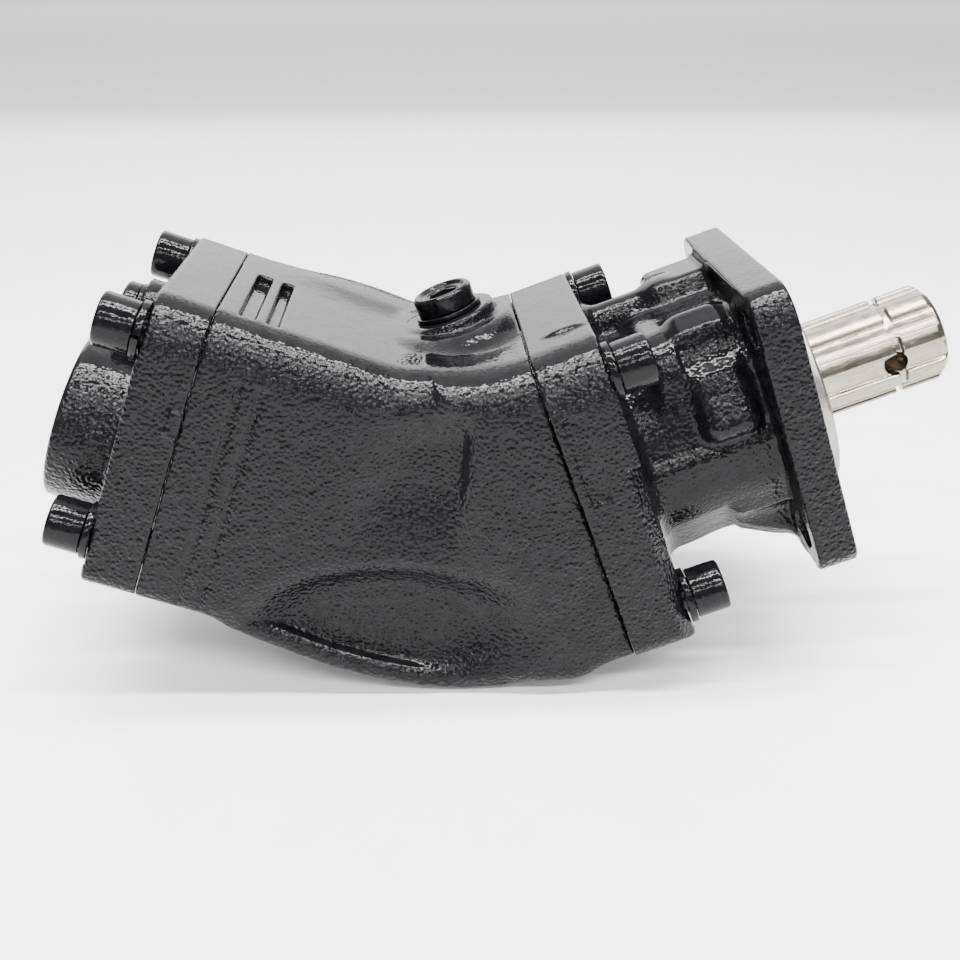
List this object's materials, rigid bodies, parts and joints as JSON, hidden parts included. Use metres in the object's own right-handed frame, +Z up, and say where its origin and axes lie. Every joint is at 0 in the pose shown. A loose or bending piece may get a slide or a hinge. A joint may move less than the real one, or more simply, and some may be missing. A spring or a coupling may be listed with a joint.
{
  "type": "bent-axis axial piston pump",
  "caption": "Black painted bent-axis hydraulic piston pump for a truck power take-off, with a splined steel drive shaft and a square four-bolt mounting flange.",
  "frame": {"origin": "centre of the footprint box, on the plane the pump stands on", "axes": "+X towards the splined drive shaft, +Y to the far side of the bend plane, +Z up"},
  "size_m": [0.3284, 0.116, 0.1484],
  "materials": {
    "casting_paint": "glossy black paint over sand-cast iron",
    "fastener_paint": "glossy black paint over steel",
    "shaft_steel": "ground",
    "bearing_steel": "ground",
    "dark_steel": "oiled",
    "bronze": "lapped",
    "rubber": "matt"
  },
  "bodies": {
    "casing": {"rear_cover": "casting_paint", "barrel_housing": "casting_paint", "bearing_housing": "casting_paint", "rear_bolt_1": "fastener_paint", "rear_washer_1": "fastener_paint", "rear_bolt_2": "fastener_paint", "rear_washer_2": "fastener_paint", "rear_bolt_3": "fastener_paint", "rear_washer_3": "fastener_paint", "rear_bolt_4": "fastener_paint", "rear_washer_4": "fastener_paint", "front_bolt_1": "fastener_paint", "front_washer_1": "fastener_paint", "front_bolt_2": "fastener_paint", "front_washer_2": "fastener_paint", "front_bolt_3": "fastener_paint", "front_washer_3": "fastener_paint", "front_bolt_4": "fastener_paint", "front_washer_4": "fastener_paint", "drain_plug": "fastener_paint", "drain_washer": "fastener_paint", "pressure_plug": "fastener_paint", "pressure_plug_washer": "fastener_paint", "rear_casing_seal": "rubber", "front_casing_seal": "rubber", "inner_bearing_cup": "bearing_steel", "outer_bearing_cup": "bearing_steel", "shaft_seal": "rubber", "seal_ring": "bearing_steel", "valve_plate": "bronze", "valve_pin": "bearing_steel"},
    "shaft": {"drive_shaft": "shaft_steel", "shaft_timing_gear": "dark_steel", "inner_bearing_cone": "bearing_steel", "outer_bearing_cone": "bearing_steel", "ball_retainer": "bearing_steel"},
    "barrel": {"cylinder_barrel": "dark_steel", "barrel_timing_gear": "dark_steel", "centre_pin": "bearing_steel", "centre_spring": "dark_steel"},
    "inner_rollers": {"inner_bearing_rollers": "bearing_steel"},
    "outer_rollers": {"outer_bearing_rollers": "bearing_steel"},
    "foot_1": {"piston_ball_1": "bearing_steel"},
    "rod_1": {"piston_1": "bearing_steel"},
    "foot_2": {"piston_ball_2": "bearing_steel"},
    "rod_2": {"piston_2": "bearing_steel"},
    "foot_3": {"piston_ball_3": "bearing_steel"},
    "rod_3": {"piston_3": "bearing_steel"},
    "foot_4": {"piston_ball_4": "bearing_steel"},
    "rod_4": {"piston_4": "bearing_steel"},
    "foot_5": {"piston_ball_5": "bearing_steel"},
    "rod_5": {"piston_5": "bearing_steel"},
    "foot_6": {"piston_ball_6": "bearing_steel"},
    "rod_6": {"piston_6": "bearing_steel"},
    "foot_7": {"piston_ball_7": "bearing_steel"},
    "rod_7": {"piston_7": "bearing_steel"}
  },
  "joints": [
    {"name": "shaft_spin", "type": "hinge", "parent": "casing", "child": "shaft", "pos_m": [0.04746, 0, 0.07752], "axis": [0.9397, 0, 0.342], "continuous": true},
    {"name": "barrel_spin", "type": "hinge", "parent": "casing", "child": "barrel", "pos_m": [-0.0653, 0, 0.07752], "axis": [0.9397, 0, -0.342], "continuous": true},
    {"name": "inner_cage_spin", "type": "hinge", "parent": "casing", "child": "inner_rollers", "pos_m": [0.03665, 0, 0.07359], "axis": [0.9397, 0, 0.342], "continuous": true},
    {"name": "outer_cage_spin", "type": "hinge", "parent": "casing", "child": "outer_rollers", "pos_m": [0.07753, 0, 0.08847], "axis": [0.9397, 0, 0.342], "continuous": true},
    {"name": "foot_1_turn", "type": "hinge", "parent": "shaft", "child": "foot_1", "pos_m": [-0.01918, 0, 0.08519], "axis": [0.9397, 0, 0.342], "continuous": true},
    {"name": "rod_1_turn", "type": "hinge", "parent": "foot_1", "child": "rod_1", "pos_m": [-0.01918, 0, 0.08519], "axis": [0.9397, 0, -0.342], "continuous": true},
    {"name": "foot_2_turn", "type": "hinge", "parent": "shaft", "child": "foot_2", "pos_m": [-0.01532, -0.02345, 0.07458], "axis": [0.9397, 0, 0.342], "continuous": true},
    {"name": "rod_2_turn", "type": "hinge", "parent": "foot_2", "child": "rod_2", "pos_m": [-0.01532, -0.02345, 0.07458], "axis": [0.9397, 0, -0.342], "continuous": true},
    {"name": "foot_3_turn", "type": "hinge", "parent": "shaft", "child": "foot_3", "pos_m": [-0.00664, -0.02925, 0.05073], "axis": [0.9397, 0, 0.342], "continuous": true},
    {"name": "rod_3_turn", "type": "hinge", "parent": "foot_3", "child": "rod_3", "pos_m": [-0.00664, -0.02925, 0.05073], "axis": [0.9397, 0, -0.342], "continuous": true},
    {"name": "foot_4_turn", "type": "hinge", "parent": "shaft", "child": "foot_4", "pos_m": [0.00032, -0.01302, 0.0316], "axis": [0.9397, 0, 0.342], "continuous": true},
    {"name": "rod_4_turn", "type": "hinge", "parent": "foot_4", "child": "rod_4", "pos_m": [0.00032, -0.01302, 0.0316], "axis": [0.9397, 0, -0.342], "continuous": true},
    {"name": "foot_5_turn", "type": "hinge", "parent": "shaft", "child": "foot_5", "pos_m": [0.00032, 0.01302, 0.0316], "axis": [0.9397, 0, 0.342], "continuous": true},
    {"name": "rod_5_turn", "type": "hinge", "parent": "foot_5", "child": "rod_5", "pos_m": [0.00032, 0.01302, 0.0316], "axis": [0.9397, 0, -0.342], "continuous": true},
    {"name": "foot_6_turn", "type": "hinge", "parent": "shaft", "child": "foot_6", "pos_m": [-0.00664, 0.02925, 0.05073], "axis": [0.9397, 0, 0.342], "continuous": true},
    {"name": "rod_6_turn", "type": "hinge", "parent": "foot_6", "child": "rod_6", "pos_m": [-0.00664, 0.02925, 0.05073], "axis": [0.9397, 0, -0.342], "continuous": true},
    {"name": "foot_7_turn", "type": "hinge", "parent": "shaft", "child": "foot_7", "pos_m": [-0.01532, 0.02345, 0.07458], "axis": [0.9397, 0, 0.342], "continuous": true},
    {"name": "rod_7_turn", "type": "hinge", "parent": "foot_7", "child": "rod_7", "pos_m": [-0.01532, 0.02345, 0.07458], "axis": [0.9397, 0, -0.342], "continuous": true}
  ],
  "couplings": [
    {"joint": "barrel_spin", "follows": "shaft_spin", "ratio": 1},
    {"joint": "inner_cage_spin", "follows": "shaft_spin", "ratio": 0.43},
    {"joint": "outer_cage_spin", "follows": "shaft_spin", "ratio": 0.43},
    {"joint": "foot_1_turn", "follows": "shaft_spin", "ratio": -1},
    {"joint": "rod_1_turn", "follows": "shaft_spin", "ratio": -1},
    {"joint": "foot_2_turn", "follows": "shaft_spin", "ratio": -1},
    {"joint": "rod_2_turn", "follows": "shaft_spin", "ratio": -1},
    {"joint": "foot_3_turn", "follows": "shaft_spin", "ratio": -1},
    {"joint": "rod_3_turn", "follows": "shaft_spin", "ratio": -1},
    {"joint": "foot_4_turn", "follows": "shaft_spin", "ratio": -1},
    {"joint": "rod_4_turn", "follows": "shaft_spin", "ratio": -1},
    {"joint": "foot_5_turn", "follows": "shaft_spin", "ratio": -1},
    {"joint": "rod_5_turn", "follows": "shaft_spin", "ratio": -1},
    {"joint": "foot_6_turn", "follows": "shaft_spin", "ratio": -1},
    {"joint": "rod_6_turn", "follows": "shaft_spin", "ratio": -1},
    {"joint": "foot_7_turn", "follows": "shaft_spin", "ratio": -1},
    {"joint": "rod_7_turn", "follows": "shaft_spin", "ratio": -1}
  ]
}
